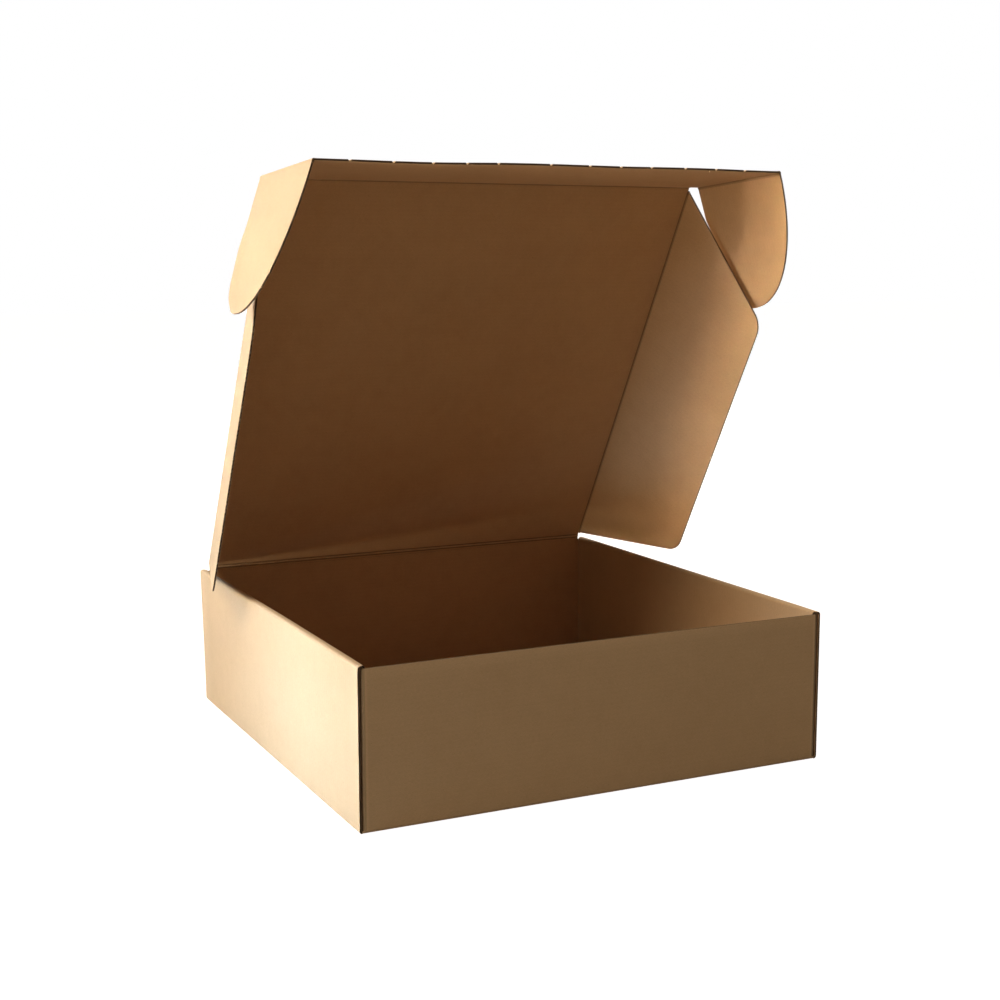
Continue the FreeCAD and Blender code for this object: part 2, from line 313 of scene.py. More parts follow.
def piece(name, sheet, node, body=None):
    """Mesh object from a sheet, standing for a CAD node."""
    mesh = bpy.data.meshes.new(name)
    mesh.from_pydata([tuple(p) for p in sheet.points], [], sheet.faces)
    flat = mesh.attributes.new("sheet", "FLOAT_VECTOR", "POINT")
    flat.data.foreach_set("vector", [x for u, v in sheet.flat for x in (u, v, 0.0)])
    wear_and_highlight = mesh.attributes.new("wear_and_highlight", "FLOAT", "POINT")
    wear_and_highlight.data.foreach_set("value", sheet.wear_and_highlight)
    crease = mesh.attributes.new("crease", "FLOAT", "POINT")
    crease.data.foreach_set("value", sheet.crease)
    for material in (KRAFT_OUTER, KRAFT_INNER, KRAFT_CORE_SHADED):
        mesh.materials.append(material)
    for polygon, kind in zip(mesh.polygons, sheet.kinds):
        polygon.material_index = kind
        polygon.use_smooth = True
    net = bmesh.new()
    net.from_mesh(mesh)
    loose = [v for v in net.verts if not v.link_faces]
    bmesh.ops.delete(net, geom=loose, context="VERTS")
    bmesh.ops.recalc_face_normals(net, faces=net.faces)
    net.to_mesh(mesh)
    net.free()
    mesh.set_sharp_from_angle(angle=math.radians(SHARP_ANGLE))
    thing = bpy.data.objects.new(name, mesh)
    bpy.context.scene.collection.objects.link(thing)
    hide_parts(node)
    if body:
        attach(thing, body)
    return thing


# Materials

def kraft(name, colour, dark, paler, rib, rough):
    """Kraft paper: fibres, flecks, faint ribs from the flutes, worn edges, a painted
    highlight along a fold and painted shade in the creases.

    colour and dark are the two tones of its clouds, paler is the tone of its worn
    edges and of the painted fold highlight, rib the strength of the ribs and rough
    the mean roughness.
    """
    material = bpy.data.materials.new(name)
    material.use_nodes = True
    nodes, links = material.node_tree.nodes, material.node_tree.links
    nodes.clear()

    def node(kind, **settings):
        made = nodes.new(kind)
        for key, value in settings.items():
            setattr(made, key, value)
        return made

    def maths(operation, a, b=None):
        made = node("ShaderNodeMath", operation=operation)
        for socket, value in zip(made.inputs, (a, b)):
            if isinstance(value, (int, float)):
                socket.default_value = value
            elif value is not None:
                links.new(value, socket)
        return made.outputs[0]

    def mixed(factor, a, b, way="MIX"):
        made = node("ShaderNodeMix", data_type="RGBA", blend_type=way)
        sockets = made.inputs[0], made.inputs[6], made.inputs[7]
        for socket, value in zip(sockets, (factor, a, b)):
            if isinstance(value, float):
                socket.default_value = value
            elif isinstance(value, tuple):
                socket.default_value = (*value, 1.0)
            else:
                links.new(value, socket)
        return made.outputs[2]

    def grain(vector, scale, detail=2.0, roughness=0.5):
        made = node("ShaderNodeTexNoise")
        made.inputs["Scale"].default_value = scale
        made.inputs["Detail"].default_value = detail
        made.inputs["Roughness"].default_value = roughness
        links.new(vector, made.inputs["Vector"])
        return made.outputs[0]

    def ramp(value, low, high):
        made = node("ShaderNodeMapRange")
        made.inputs["From Min"].default_value = low
        made.inputs["From Max"].default_value = high
        links.new(value, made.inputs["Value"])
        return made.outputs[0]

    def scaled(vector, x, y, z):
        made = node("ShaderNodeVectorMath", operation="MULTIPLY")
        links.new(vector, made.inputs[0])
        made.inputs[1].default_value = (x, y, z)
        return made.outputs[0]

    flat = node("ShaderNodeAttribute", attribute_name="sheet").outputs["Vector"]
    wear_and_highlight = node("ShaderNodeAttribute", attribute_name="wear_and_highlight").outputs["Fac"]
    crease = node("ShaderNodeAttribute", attribute_name="crease").outputs["Fac"]

    cloud = grain(flat, 0.018, 3.0, 0.6)
    patch = grain(flat, 0.11, 3.0, 0.6)
    fibre_along = grain(scaled(flat, 0.5, 3.2, 1.0), 1.0, 3.0, 0.65)
    fibre_across = grain(scaled(flat, 2.6, 0.7, 1.0), 1.3, 2.0, 0.6)
    fibre = maths("ADD", maths("MULTIPLY", fibre_along, 0.6),
                  maths("MULTIPLY", fibre_across, 0.4))

    split = node("ShaderNodeSeparateXYZ")
    links.new(flat, split.inputs[0])
    sway = maths("MULTIPLY", maths("SUBTRACT", patch, 0.5), 0.6)
    turns = maths("MULTIPLY", split.outputs["Y"], 2 * math.pi / PITCH)
    wave = maths("COSINE", maths("ADD", turns, sway))

    tone = mixed(ramp(cloud, 0.35, 0.65), dark, colour)
    tone = mixed(maths("MULTIPLY", ramp(patch, 0.3, 0.7), 0.45), tone,
                 tuple(min(1.0, c * 1.07) for c in colour))
    strands = node("ShaderNodeMix", data_type="FLOAT")
    links.new(ramp(fibre, 0.32, 0.68), strands.inputs[0])
    strands.inputs[2].default_value = 0.87
    strands.inputs[3].default_value = 1.11
    ribs = maths("ADD", maths("MULTIPLY", wave, rib), 1.0)
    shade = maths("MULTIPLY", strands.outputs[0], ribs)
    grey = node("ShaderNodeCombineColor")
    for socket in grey.inputs[:3]:
        links.new(shade, socket)
    tone = mixed(1.0, tone, grey.outputs[0], "MULTIPLY")

    # Dark flecks and a few pale ones, each in its own cell
    flecks = (
        (0.42, 0.10, 0.82, tuple(c * 0.42 for c in dark)),
        (0.9, 0.13, 0.78, tuple(c * 0.62 for c in dark)),
        (0.7, 0.11, 0.80, tuple(min(1.0, c * 1.35) for c in colour)),
    )
    for scale, size, share, fleck in flecks:
        cells = node("ShaderNodeTexVoronoi")
        cells.inputs["Scale"].default_value = scale
        links.new(scaled(flat, 0.8, 1.25, 1.0), cells.inputs["Vector"])
        near = ramp(cells.outputs["Distance"], size, size * 0.55)
        near.node.clamp = True
        chance = node("ShaderNodeSeparateColor")
        links.new(cells.outputs["Color"], chance.inputs[0])
        chosen = maths("GREATER_THAN", chance.outputs[0], share)
        tone = mixed(maths("MULTIPLY", maths("MULTIPLY", near, chosen), 0.7), tone, fleck)

    # Worn edges and the painted highlight along a fold turn the tone paler.
    wear_and_highlight_mask = maths("MULTIPLY", wear_and_highlight, ramp(fibre, 0.25, 0.6))
    tone = mixed(maths("MULTIPLY", wear_and_highlight_mask, 0.55), tone, paler)
    # Painted shade in the creases: the crease value darkens the tone.
    crease_shade = maths("MULTIPLY", crease, ramp(fibre, 0.1, 0.5))
    tone = mixed(maths("MULTIPLY", crease_shade, 0.85), tone, tuple(c * 0.32 for c in dark))

    height = maths("ADD", maths("MULTIPLY", fibre, 0.05),
                   maths("MULTIPLY", wave, rib * 0.9))
    height = maths("ADD", height, maths("MULTIPLY", patch, 0.10))
    bump = node("ShaderNodeBump")
    bump.inputs["Strength"].default_value = 0.55
    bump.inputs["Distance"].default_value = MM
    links.new(height, bump.inputs["Height"])

    surface = node("ShaderNodeBsdfPrincipled")
    links.new(tone, surface.inputs["Base Color"])
    links.new(bump.outputs[0], surface.inputs["Normal"])
    gloss = node("ShaderNodeMapRange")
    gloss.inputs["To Min"].default_value = rough - 0.06
    gloss.inputs["To Max"].default_value = rough + 0.06
    links.new(fibre, gloss.inputs["Value"])
    links.new(gloss.outputs[0], surface.inputs["Roughness"])
    surface.inputs["Specular IOR Level"].default_value = 0.25
    output = node("ShaderNodeOutputMaterial")
    links.new(surface.outputs[0], output.inputs["Surface"])
    return material


KRAFT_OUTER = kraft("kraft_outer", (0.568, 0.426, 0.273), (0.545, 0.404, 0.256),
                    (0.70, 0.53, 0.35), 0.008, 0.82)
KRAFT_INNER = kraft("kraft_inner", (0.582, 0.377, 0.206), (0.556, 0.354, 0.191),
                    (0.68, 0.50, 0.32), 0.010, 0.86)
# The cut edges and the wavy middle get a dark tone: painted shade for the hollows of the
# flutes and for edges that turn away from the light.
KRAFT_CORE_SHADED = kraft("kraft_core_shaded", (0.190, 0.135, 0.088), (0.150, 0.105, 0.066),
                   (0.26, 0.19, 0.13), 0.0, 0.92)


# Tray

def base_place(u, v, depth):
    """Base, with its fold up into the front and back wall."""
    way = 1 if v > 0 else -1
    past = abs(v) - (HALF_D - FOLD_OUTER)
    if past <= 0:
        return Vector((u, v, BOARD - depth))
    angle = min(past / FOLD_MIDDLE, math.pi / 2)
    radius = FOLD_INNER + depth
    rest = max(0.0, past - FOLD_LENGTH)
    return Vector((u, way * (HALF_D - FOLD_OUTER + radius * math.sin(angle)),
                   FOLD_OUTER - radius * math.cos(angle) + rest))


def tray_base():
    """Base with its four slots, and the folds up into the end walls."""
    sheet = Sheet()
    flat_v = HALF_D - FOLD_OUTER
    slot_in, slot_out = INNER_X - TAB_CLEAR, INNER_X + BOARD + TAB_CLEAR
    slot_middle, slot_reach = (slot_in + slot_out) / 2, (slot_out - slot_in) / 2
    slot_half = TAB_HALF + TAB_CLEAR
    side = HALF_W - FOLD_OUTER
    columns = steps(-slot_in, slot_in, 44.0)
    columns = [-side, -slot_out] + columns + [slot_out, side]
    breaks = [-flat_v]
    for middle in (-TAB_MIDDLE, TAB_MIDDLE):
        breaks += [middle - slot_half, middle + slot_half]
    breaks.append(flat_v)
    rows = refined(breaks, 24.0)
    fold = steps(flat_v, flat_v + FOLD_LENGTH, FOLD_STEP)[1:]
    rows = [-r for r in reversed(fold)] + rows + fold

    def solid(c, r):
        in_slot = slot_in < abs(c) < slot_out and abs(abs(r) - TAB_MIDDLE) < slot_half
        return not in_slot

    def rim(c, r):
        past_slot = max(abs(abs(c) - slot_middle) - slot_reach, 0.0)
        beside = max(abs(abs(r) - TAB_MIDDLE) - slot_half, 0.0)
        return math.hypot(past_slot, beside)

    board(sheet, base_place, columns, rows, lambda c, r, layer: (c, r), rim, solid)
    return sheet


def end_place(way, top):
    """Front (-1) or back (+1) wall with its dust flaps; v is the height."""
    run = DUST_X - FOLD_OUTER
    ring = HALF_D - FOLD_OUTER

    def place(u, v, depth):
        side = 1 if u > 0 else -1
        past = abs(u) - run
        if past <= 0:
            lift = smooth(FOLD_OUTER, top, v)
            out = -WALL_BOW * lift * max(0.0, 1 - (u / run) ** 2)
            ripple = noise.noise(Vector((u * 0.014, way * 3.1, v * 0.01)))
            out += WALL_RIPPLE * lift * ripple * max(0.0, 1 - (u / run) ** 4)
            return Vector((u, way * (HALF_D - BOARD + depth + out), v))
        angle = min(past / FOLD_MIDDLE, math.pi / 2)
        radius = FOLD_INNER + depth
        rest = max(0.0, past - FOLD_LENGTH)
        return Vector((side * (run + radius * math.sin(angle)),
                       way * (ring + radius * math.cos(angle) - rest), v))

    return place


def tray_end(way, top):
    """One end wall with its dust flaps. way is -1 for the front, 1 for the back."""
    sheet = Sheet()
    run = DUST_X - FOLD_OUTER
    tip = run + FOLD_LENGTH + DUST_LENGTH
    fold = steps(run, run + FOLD_LENGTH, FOLD_STEP)
    columns = steps(-run + 3, run - 3, PANEL_STEP)
    half = [run - 2.0, run - 1.4, run - 0.9, run - 0.4] + fold
    half += refined([fold[-1], tip - 2 * DUST_TAPER, tip], PANEL_STEP)[1:]
    columns = [-c for c in reversed(half)] + columns + half
    rows = refined([FOLD_OUTER, FRONT_TOP], 8.0)
    place = end_place(way, top)

    def flat(c, r, layer):
        # The dust flap's end is cut back on a slant at both corners.
        near = min(r - FOLD_OUTER, FRONT_TOP - r)
        cut = 2 * DUST_TAPER * max(0.0, 1 - near / DUST_TAPER)
        start = tip - 2 * DUST_TAPER
        if abs(c) > start:
            share = (abs(c) - start) / (tip - start)
            return math.copysign(start + share * (tip - start - cut), c), r
        return c, r

    def rim(c, r):
        cut_top = FRONT_TOP - r if (way < 0 or abs(c) > LID_HALF) else 50.0
        return max(0.0, min(cut_top, tip - abs(c)))

    # Painted shade on the outer face where the wall turns into a dust flap.
    def painted_corner_shade(c, r):
        return smooth(run - 0.5, run + 0.4, abs(c))

    # Painted highlight: a thin pale line on the wall just before that fold.
    def fold_highlight(c, r):
        return 1.5 * math.exp(-((abs(c) - run + 1.0) / 0.45) ** 2)

    board(sheet, place, columns, rows, flat, rim, score_and_shade=painted_corner_shade, shaded_liner=OUTER, fold_highlight=fold_highlight)
    if top > FRONT_TOP:
        # The back wall rises to the lid's crease between its dust flaps.
        columns = steps(-LID_HALF, LID_HALF, PANEL_STEP)
        board(sheet, place, columns, [FRONT_TOP, top], lambda c, r, layer: (c, r),
              lambda c, r: LID_HALF - abs(c))
    for i, (u, v) in enumerate(sheet.flat):
        sheet.flat[i] = (u, way * (WALL_V + v - FOLD_OUTER))
    return sheet


def side_path():
    """Folds and flat runs of a side wall's section, up, over and down inside."""
    wall = TRAY_HEIGHT - 2 * FOLD_OUTER
    top = HALF_W - INNER_X - 2 * FOLD_OUTER
    down = TRAY_HEIGHT - FOLD_OUTER - BOARD - ROLL_FOOT
    fold = ("fold", FOLD_LENGTH)
    return fold, ("run", wall), fold, ("run", top), fold, ("run", down)


def tray_side(way):
    """One rolled side wall. way is -1 for the left and 1 for the right."""
    sheet = Sheet()
    marks, columns = [], [0.0]
    at = Vector((HALF_W - FOLD_OUTER, 0.0))
    heading = 0.0
    length = 0.0
    for kind, span in side_path():
        marks.append((length, span, kind, at.copy(), heading))
        columns += steps(length, length + span, FOLD_STEP if kind == "fold" else 19.0)[1:]
        ahead = Vector((math.cos(heading), math.sin(heading)))
        left = Vector((-ahead.y, ahead.x))
        if kind == "fold":
            at = at + left * FOLD_OUTER + ahead * FOLD_OUTER
            heading += math.pi / 2
        else:
            at = at + ahead * span
        length += span

    def section(s, depth):
        for start, span, kind, origin, angle in marks:
            if s <= start + span + 1e-6:
                break
        ahead = Vector((math.cos(angle), math.sin(angle)))
        left = Vector((-ahead.y, ahead.x))
        if kind == "run":
            return origin + ahead * (s - start) + left * (BOARD - depth)
        centre = origin + left * FOLD_OUTER
        past = (s - start) / FOLD_MIDDLE
        radius = FOLD_INNER + depth
        return centre + (ahead * math.sin(past) - left * math.cos(past)) * radius

    def place(s, v, depth):
        # v is the share of the wall's length at this place of the section.
        x, z = section(s, depth)
        limit = HALF_D - SIDE_INSET
        if z > FOLD_OUTER:
            low_x = INNER_X + BOARD
            cut = (HALF_W - FOLD_OUTER - x) / (HALF_W - FOLD_OUTER - low_x)
            limit = min(limit, HALF_D - ROLL_SET_BACK * min(max(cut, 0.0), 1.0))
        y = v / HALF_D * limit
        lift = smooth(0.0, 60.0, z) * smooth(TRAY_HEIGHT, 70.0, z)
        swell = SIDE_SWELL * lift * max(0.0, 1 - (y / HALF_D) ** 4)
        if x > HALF_W - 2 * BOARD:
            x -= SIDE_PRESS - swell * 0.33
        return Vector((way * x, y, z))

    rows = steps(-HALF_D, HALF_D, 19.8)
    board(sheet, place, columns, rows, lambda c, r, layer: (c, r),
          lambda c, r: min(HALF_D - abs(r), length - c))
    for middle in (-TAB_MIDDLE, TAB_MIDDLE):
        grid = []
        for depth in (0.0, BOARD):
            x = way * (INNER_X + BOARD - depth)
            face = []
            for share in steps(-1.0, 1.0, 0.25):
                line = []
                for t, z in TAB_ROWS:
                    y = middle + share * (TAB_HALF - TAB_TAPER * t)
                    flat = (length + 3 * t, middle + share * TAB_HALF)
                    line.append(sheet.point(Vector((x, y, z)), flat, 0.5 * t))
                face.append(line)
            grid.append(face)
        sheet.shell(grid[0], grid[1], (INNER, OUTER))
    for i, (u, v) in enumerate(sheet.flat):
        sheet.flat[i] = (way * (HALF_W - FOLD_OUTER + u), v)
    return sheet


def lid_crease():
    """Strip of board that bends with the lid, with the two scores of its crease."""
    sheet = Sheet()
    bend = math.radians(90 - LID_OPEN)
    radius = HINGE_REACH / math.tan(bend / 2)
    centre_y = HINGE_Y - radius
    columns = steps(-LID_HALF, LID_HALF, PANEL_STEP)
    shares = steps(-1.0, 1.0, 0.06)
    grids = []
    for outside in (False, True):
        grid = []
        for x in columns:
            line = []
            for share in shares:
                angle = bend * (share + 1) / 2
                y = centre_y + radius * math.cos(angle)
                z = HINGE_Z - HINGE_REACH + radius * math.sin(angle)
                normal = Vector((0, math.cos(angle), math.sin(angle)))
                groove_and_shade = 0.0
                off = BOARD / 2
                if not outside:
                    # The two scores are grooves on the inner face with painted shade in them.
                    groove_and_shade = sum(math.exp(-((share - at) / HINGE_SCORE_WIDTH) ** 2)
                                 for at in HINGE_SCORES)
                    rise = HINGE_RAISE * smooth(-0.36, -0.2, share) * smooth(0.36, 0.2, share)
                    off = -(BOARD / 2 - HINGE_SCORE_DEPTH * groove_and_shade + rise)
                v = LID_V + share * HINGE_REACH
                paler = 1.6 * math.exp(-(share / 0.22) ** 4)
                place = Vector((x, y, z)) + normal * off
                line.append(sheet.point(place, (x, v), paler, groove_and_shade))
            grid.append(line)
        grids.append(grid)
    sheet.shell(grids[0], grids[1], (INNER, OUTER))
    return sheet


# Lid

def lid_warp(u, v):
    """Slight curl of the lid, nothing at its creases."""
    calm = max(0.0, 1 - (u / LID_HALF) ** 2)
    calm *= smooth(0, 25, v) * smooth(LID_LENGTH, LID_LENGTH - 25, v)
    ripple = noise.noise(Vector((u * 0.006, v * 0.011, 1.7)))
    return calm * (LID_RIPPLE * ripple + LID_BOW)


def lid_panel():
    """Lid, with the backs of its side and front creases."""
    sheet = Sheet()

    def place(u, v, depth):
        return ON_LID @ Vector((u, v, -depth + lid_warp(u, v)))

    end = LID_LENGTH - FLAP_FRONT

    # A groove on the inner face beside the side and front creases, darkened there with
    # painted shade.
    def score_and_shade(c, r):
        beside = 0.0
        if FLAP_BACK < r < end:
            beside = math.exp(-((LID_HALF - abs(c)) / SCORE_WIDTH) ** 2)
        return max(beside, math.exp(-((LID_LENGTH - r) / SCORE_WIDTH) ** 2))

    edge = [LID_HALF - 1.6, LID_HALF - 0.8, LID_HALF - 0.3, LID_HALF]
    columns = [-c for c in reversed(edge)] + steps(-LID_HALF + 4, LID_HALF - 4, 19.5) + edge
    rows = steps(HINGE_REACH, LID_LENGTH - 4, 9.9)
    rows += [LID_LENGTH - 1.6, LID_LENGTH - 0.8, LID_LENGTH - 0.3, LID_LENGTH]
    board(sheet, place, columns, rows, lambda c, r, layer: (c, r), lambda c, r: 50.0,
          score_and_shade=score_and_shade)
    flip = Matrix.Diagonal((-1, 1, 1, 1))
    for side, mirror in (("right", Matrix.Identity(4)), ("left", flip)):
        at = mirror @ shift(LID_HALF, 0, 0)
        way = 1 if side == "right" else -1
        bead(sheet, ON_LID @ at, FLAP_BACK, end, 90 - FLAP_SPLAY[side],
             lambda r, y, way=way: (way * (LID_HALF + r), y))
    front = ON_LID @ shift(0, LID_LENGTH, 0) @ turn(90, "Z")
    bead(sheet, front, -LID_HALF, LID_HALF, TUCK_FOLD, lambda r, y: (-y, LID_LENGTH + r))
    sheet.flat = [(u, v + LID_V) for u, v in sheet.flat]
    return sheet


def outline(corners):
    """Points through (u, v, radius) corners, each rounded by its radius."""
    line = []
    for i, (u, v, radius) in enumerate(corners):
        here = Vector((u, v))
        if not radius:
            line.append(here)
            continue
        before = (Vector(corners[i - 1][:2]) - here).normalized()
        after = (Vector(corners[i + 1][:2]) - here).normalized()
        half = before.angle(after) / 2
        centre = here + (before + after).normalized() * (radius / math.sin(half))
        start = here + before * (radius / math.tan(half)) - centre
        sweep = start.angle_signed(here + after * (radius / math.tan(half)) - centre)
        for k in range(9):
            spin = -sweep * k / 8
            cosine, sine = math.cos(spin), math.sin(spin)
            line.append(centre + Vector((start.x * cosine - start.y * sine,
                                         start.x * sine + start.y * cosine)))
    return line


def leaf(sheet, place, edge, trim, pace):
    """Flap of board from its crease at u = 0 out to an edge rising in v.

    trim shortens the flap at both ends, and pace is the spacing of its rows.
    """
    low, high = edge[0][1] + trim, edge[-1][1] - trim

    def width(v):
        for a, b in zip(edge, edge[1:]):
            if a[1] <= v <= b[1] and b[1] > a[1]:
                return a[0] + (b[0] - a[0]) * (v - a[1]) / (b[1] - a[1])
        return 0.0

    rows = sorted({low, high} | {round(p[1], 4) for p in edge if low < p[1] < high})
    rows = refined(rows, pace)
    columns = [0.0, 0.02, 0.06] + steps(0.12, 0.94, 0.14) + [0.975, 1.0]
    starts = {OUTER: 0.0, CORE: BOARD * 0.8, INNER: BOARD + CREASE_GAP}

    def flat(c, r, layer):
        reach = width(r)
        start = min(starts[layer], reach * 0.5)
        return start + c * (reach - start), r

    def rim(c, r):
        reach = width(r)
        at = Vector((c * reach, r))
        near = math.inf
        for a, b in zip(edge, edge[1:]):
            side = b - a
            share = min(max((at - a).dot(side) / max(side.length_squared, 1e-9), 0.0), 1.0)
            near = min(near, (at - a - side * share).length)
            if near < 0.01:
                break
        return near

    board(sheet, place, columns, rows, flat, rim)


def lid_flap(side):
    """Side flap of the lid."""
    sheet = Sheet()
    way = 1 if side == "right" else -1
    at = ON_LID @ Matrix.Diagonal((way, 1, 1, 1)) @ shift(LID_HALF, 0, 0) \
        @ turn(FLAP_SPLAY[side] - 90, "Y")
    front = LID_LENGTH - FLAP_FRONT
    edge = outline([
        (0, FLAP_BACK, 0),
        (FLAP_DEPTH, FLAP_BACK + FLAP_BACK_TAPER * FLAP_DEPTH, FLAP_ROUND),
        (FLAP_DEPTH, front - FLAP_FRONT_TAPER * FLAP_DEPTH, FLAP_ROUND),
        (0, front, 0)])

    def place(u, v, depth):
        along = smooth(FLAP_BACK, 90, v) * smooth(front, front - 60, v)
        curl = FLAP_CURL * (u / FLAP_DEPTH) ** 2 * along
        curl *= noise.noise(Vector((u * 0.01, v * 0.012, 5.0 + way)))
        return at @ Vector((u, v, -depth + curl))

    leaf(sheet, place, edge, FLAP_TRIM, FLAP_ROWS)
    sheet.flat = [(way * (LID_HALF + u), v + LID_V) for u, v in sheet.flat]
    return sheet


def tuck_flap():
    """Tuck flap, with the small nicks that its free edge kept from the die."""
    sheet = Sheet()
    joint = LID_HALF + CREASE_GAP
    inner = refined([-joint, joint], 20.0)
    for nick in NICKS:
        inner = [x for x in inner if abs(x - nick) > 2.5]
        inner += [nick + x for x in (-1.3, -0.9, -0.5, -0.2, 0.2, 0.5, 0.9, 1.3)]
    columns = [-TUCK_HALF] + sorted(inner) + [TUCK_HALF]
    rows = [0.0, 0.6, 1.2, TUCK_SHOULDER] + steps(TUCK_SHOULDER, TUCK_DEPTH - 5.0, 9.9)[1:]
    rows += [TUCK_DEPTH - 3.5, TUCK_DEPTH - 2.0, TUCK_DEPTH - 1.0, TUCK_DEPTH]
    starts = {OUTER: 0.0, CORE: BOARD * 0.8, INNER: BOARD + CREASE_GAP}

    def nicked(u):
        return max(1 - smooth(0.3, 1.2, abs(u - nick)) for nick in NICKS)

    def flat(c, r, layer):
        start = starts[layer]
        v = max(r, start) if r < TUCK_SHOULDER else r
        if r > TUCK_DEPTH - 2.0:
            v -= NICK_DEPTH * nicked(c) * (r - TUCK_DEPTH + 2.0) / 2.0
        return c, v

    def solid(c, r):
        return abs(c) < joint or r > TUCK_SHOULDER

    def place(u, v, depth):
        calm = max(0.0, 1 - (u / TUCK_HALF) ** 4)
        wave = 0.9 * math.sin((u + 30) * 0.021)
        wave += 1.1 * noise.noise(Vector((u * 0.013, 0, 9.2)))
        lift = -TUCK_CURL * (v / TUCK_DEPTH) ** 2 * wave * calm
        crushed = smooth(TUCK_DEPTH - 5.0, TUCK_DEPTH - 1.2, v) * nicked(u)
        return ON_TUCK @ Vector((u, v, -depth * (1 - NICK_CRUSH * crushed) + lift))

    def rim(c, r):
        return max(0.0, min(TUCK_DEPTH - r, 50.0))

    board(sheet, place, columns, rows, flat, rim, solid)
    for side, way in (("right", 1), ("left", -1)):
        at = ON_TUCK @ Matrix.Diagonal((way, 1, 1, 1)) @ shift(TUCK_HALF, 0, 0)
        bead(sheet, at, TUCK_SHOULDER, TUCK_DEPTH, 90 - EAR_SPLAY[side],
             lambda r, y, way=way: (way * (TUCK_HALF + r), y))
    sheet.flat = [(u, v + TUCK_V) for u, v in sheet.flat]
    return sheet


def ear(side):
    """Locking ear, with the long curved edge and a soft bend by its near edge."""
    sheet = Sheet()
    way = 1 if side == "right" else -1
    at = ON_TUCK @ Matrix.Diagonal((way, 1, 1, 1)) @ shift(TUCK_HALF, 0, 0) \
        @ turn(EAR_SPLAY[side] - 90, "Y")
    knee = (EAR_STRAIGHT, TUCK_SHOULDER + EAR_STRAIGHT_LEAN)
    near = outline([
        (0, TUCK_SHOULDER, 0),
        (*knee, 0),
        (EAR_DEPTH, TUCK_SHOULDER + EAR_TAPER, EAR_NOSE),
        (EAR_DEPTH, EAR_ROUND_CENTRE, 0)])
    reach = TUCK_DEPTH - EAR_ROUND_CENTRE
    curve = [Vector((EAR_DEPTH * math.cos(t), EAR_ROUND_CENTRE + reach * math.sin(t)))
             for t in steps(0.0, math.pi / 2, math.pi / 48)[1:]]

    def place(u, v, depth):
        # The strip beside the lid is bent along a line from the root to the nose.
        line = TUCK_SHOULDER + 1.0 + u * EAR_BEND_LINE
        past = max(0.0, line - v)
        bend = EAR_BEND * past * smooth(0.0, 6.0, past) * smooth(22.0, 50.0, u)
        bend *= smooth(EAR_DEPTH, EAR_DEPTH - 16, u)
        return at @ Vector((u, v, -depth - bend))

    leaf(sheet, place, near + curve, EAR_TRIM, EAR_ROWS)
    sheet.flat = [(way * (TUCK_HALF + u), v + TUCK_V) for u, v in sheet.flat]
    return sheet


def splayed(sheet):
    """The tray stands a little open at its back left corner."""
    for at in sheet.points:
        x, y, z = at / MM
        lean = smooth(-90.0, -HALF_W, x) * smooth(-40.0, HALF_D, y)
        lean *= (z / TRAY_HEIGHT) ** 1.3
        at.x -= CORNER_LEAN * lean * MM
    return sheet


piece("base_board", tray_base(), "tray", "tray")
piece("front_wall_board", tray_end(-1, FRONT_TOP), "tray", "tray")
piece("back_wall_board", splayed(tray_end(1, HINGE_Z - HINGE_REACH)), "tray", "tray")
piece("left_wall_board", splayed(tray_side(-1)), "tray", "tray")
piece("right_wall_board", tray_side(1), "tray", "tray")
piece("lid_board", lid_panel(), "lid_panel", "lid")
for side in ("left", "right"):
    piece(side + "_flap_board", lid_flap(side), "lid_flap_" + side, "flap_" + side)
    piece(side + "_ear_board", ear(side), "ear_" + side, "ear_" + side)
piece("tuck_board", tuck_flap(), "tuck_flap", "tuck")
crease = piece("lid_crease_board", lid_crease(), "lid_panel")
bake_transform(crease)


# Floor, light and camera

GROUND_HALF = 9.0
GROUND_DROP = 0.0002
CAMERA_PLACE = (-0.46880, -0.97347, 0.32320)
CAMERA_LENS = 57.39
CAMERA_TURN = -26.0289
CAMERA_DIP = 8.5557
CAMERA_ROLL = -0.0647


def seen_background(nodes, links):
    """Value that is 1 where the camera, a gloss or a glass shows the background."""
    ray = nodes.new("ShaderNodeLightPath")
    value = ray.outputs["Is Camera Ray"]
    for name in ("Is Glossy Ray", "Is Transmission Ray"):
        either = nodes.new("ShaderNodeMath")
        either.operation = "MAXIMUM"
        links.new(value, either.inputs[0])
        links.new(ray.outputs[name], either.inputs[1])
        value = either.outputs[0]
    return value


def plain(name, colour, glow):
    """Pale ground that the camera sees as white, but which keeps the shadow."""
    material = bpy.data.materials.new(name)
    material.use_nodes = True
    nodes, links = material.node_tree.nodes, material.node_tree.links
    nodes.clear()
    strength = nodes.new("ShaderNodeMath")
    strength.operation = "MULTIPLY"
    strength.inputs[1].default_value = glow
    links.new(seen_background(nodes, links), strength.inputs[0])
    light = nodes.new("ShaderNodeEmission")
    links.new(strength.outputs[0], light.inputs["Strength"])
    matt = nodes.new("ShaderNodeBsdfDiffuse")
    matt.inputs["Color"].default_value = (*colour, 1.0)
    both = nodes.new("ShaderNodeAddShader")
    links.new(light.outputs[0], both.inputs[0])
    links.new(matt.outputs[0], both.inputs[1])
    output = nodes.new("ShaderNodeOutputMaterial")
    links.new(both.outputs[0], output.inputs["Surface"])
    return material


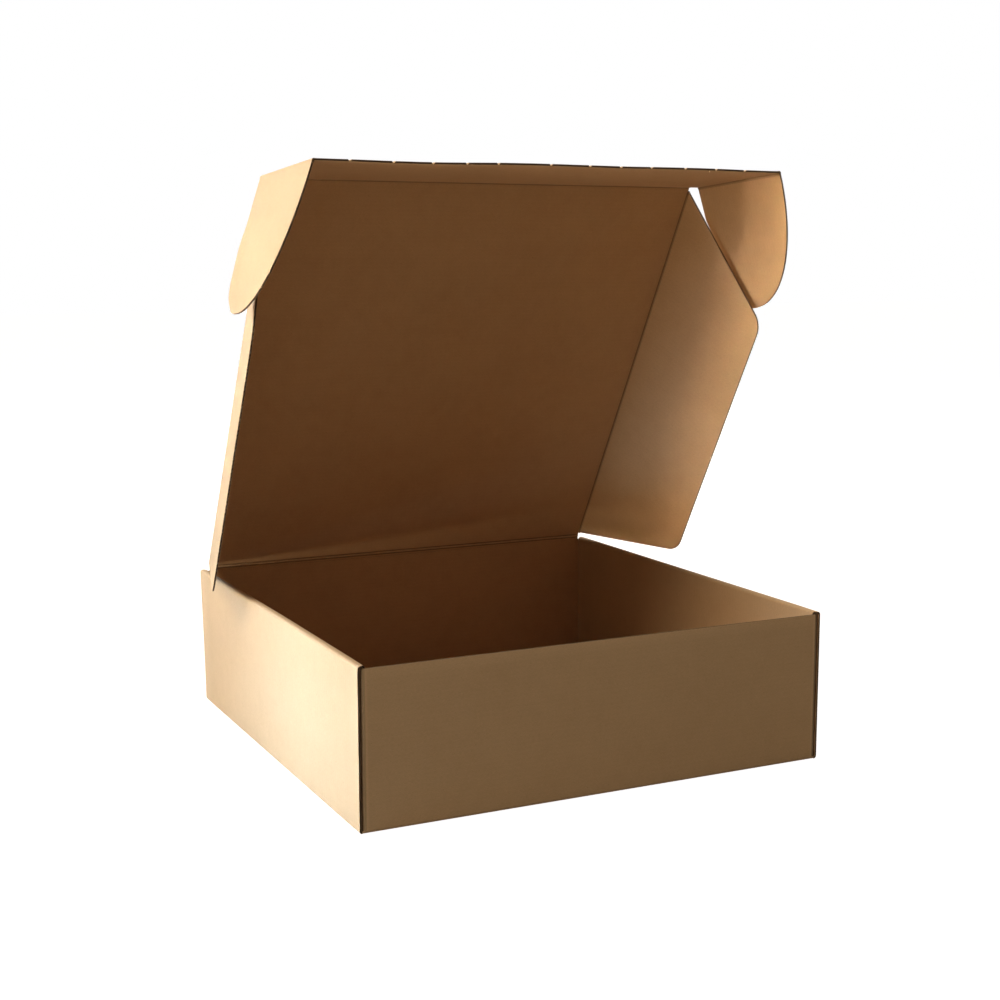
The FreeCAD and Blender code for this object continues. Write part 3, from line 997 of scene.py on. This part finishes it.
def studio(colour, strength):
    """World that is shown as white and lights the box faintly."""
    world = bpy.data.worlds.new("studio")
    world.use_nodes = True
    nodes, links = world.node_tree.nodes, world.node_tree.links
    nodes.clear()
    shown = nodes.new("ShaderNodeBackground")
    shown.inputs["Color"].default_value = (1.0, 1.0, 1.0, 1.0)
    shown.inputs["Strength"].default_value = 1.0
    soft = nodes.new("ShaderNodeBackground")
    soft.inputs["Color"].default_value = (*colour, 1.0)
    soft.inputs["Strength"].default_value = strength
    mix = nodes.new("ShaderNodeMixShader")
    links.new(seen_background(nodes, links), mix.inputs[0])
    links.new(soft.outputs[0], mix.inputs[1])
    links.new(shown.outputs[0], mix.inputs[2])
    sky = nodes.new("ShaderNodeOutputWorld")
    links.new(mix.outputs[0], sky.inputs["Surface"])
    return world


def lamp(name, place, target, size, power, colour, spread=180.0):
    """Soft rectangular light that faces a point. spread is in degrees."""
    light = bpy.data.lights.new(name, "AREA")
    light.shape = "RECTANGLE"
    light.size, light.size_y = size
    light.energy = power
    light.color = colour
    light.spread = math.radians(spread)
    thing = bpy.data.objects.new(name, light)
    thing.location = place
    facing = Vector(target) - Vector(place)
    thing.rotation_euler = facing.to_track_quat("-Z", "Y").to_euler()
    bpy.context.scene.collection.objects.link(thing)


ground = bpy.data.meshes.new("ground")
ground.from_pydata([(-GROUND_HALF, -GROUND_HALF, 0), (GROUND_HALF, -GROUND_HALF, 0),
                    (GROUND_HALF, GROUND_HALF, 0), (-GROUND_HALF, GROUND_HALF, 0)],
                   [], [(0, 1, 2, 3)])
ground.materials.append(plain("pale_ground", (0.38, 0.33, 0.27), 0.985))
floor = bpy.data.objects.new("ground", ground)
floor.location = (0, 0, -GROUND_DROP)
bpy.context.scene.collection.objects.link(floor)

bpy.context.scene.world = studio((1.0, 0.80, 0.60), 0.055)

# The lid and the left flap keep the key off the inside of the box. The three low
# strips stand below the tray's wall top, so they light its left side and, above
# the walls, the inner faces on the right.
lamp("key", (-0.95, 0.36, 0.46), (-0.17, 0.02, 0.22), (0.34, 0.30), 5.4, (0.43, 0.69, 1.0))
lamp("near_key", (-0.52, -0.06, 0.032), (-0.16, -0.075, 0.045), (0.19, 0.05), 0.125,
     (0.54, 0.76, 1.0), spread=50)
lamp("side_fill", (-3.4, -0.18, 0.050), (0.17, 0.03, 0.34), (1.3, 0.08), 0.84,
     (1.0, 0.84, 0.62), spread=12)
lamp("low_fill", (-1.3, -0.15, 0.050), (0.1, 0, 0.24), (0.5, 0.08), 6.0, (1.0, 0.84, 0.62))
lamp("high_fill", (-1.5, -0.34, 1.9), (0.1, 0, 0.05), (0.9, 1.1), 42.0, (1.0, 0.78, 0.54))
lamp("front_fill", (2.3, -1.7, 0.7), (0, 0, 0.1), (1.8, 1.2), 2.6, (1.0, 0.72, 0.48))
lamp("back_fill", (0.9, 2.2, 1.5), (0, 0, 0.1), (1.8, 1.4), 35.0, (1.0, 0.88, 0.74))
lamp("right_fill", (3.0, 0.5, 0.050), (-0.1, 0, 0.18), (1.3, 0.08), 42.0, (1.0, 0.88, 0.74))

camera = bpy.data.objects.new("camera", bpy.data.cameras.new("camera"))
camera.data.sensor_width = 36.0
camera.data.lens = CAMERA_LENS
camera.data.clip_start = 0.05
camera.location = CAMERA_PLACE
aim = turn(CAMERA_TURN, "Z") @ turn(90 - CAMERA_DIP, "X") @ turn(CAMERA_ROLL, "Z")
camera.rotation_euler = aim.to_euler()
bpy.context.scene.collection.objects.link(camera)
bpy.context.scene.camera = camera
bpy.context.scene.view_settings.view_transform = "Standard"
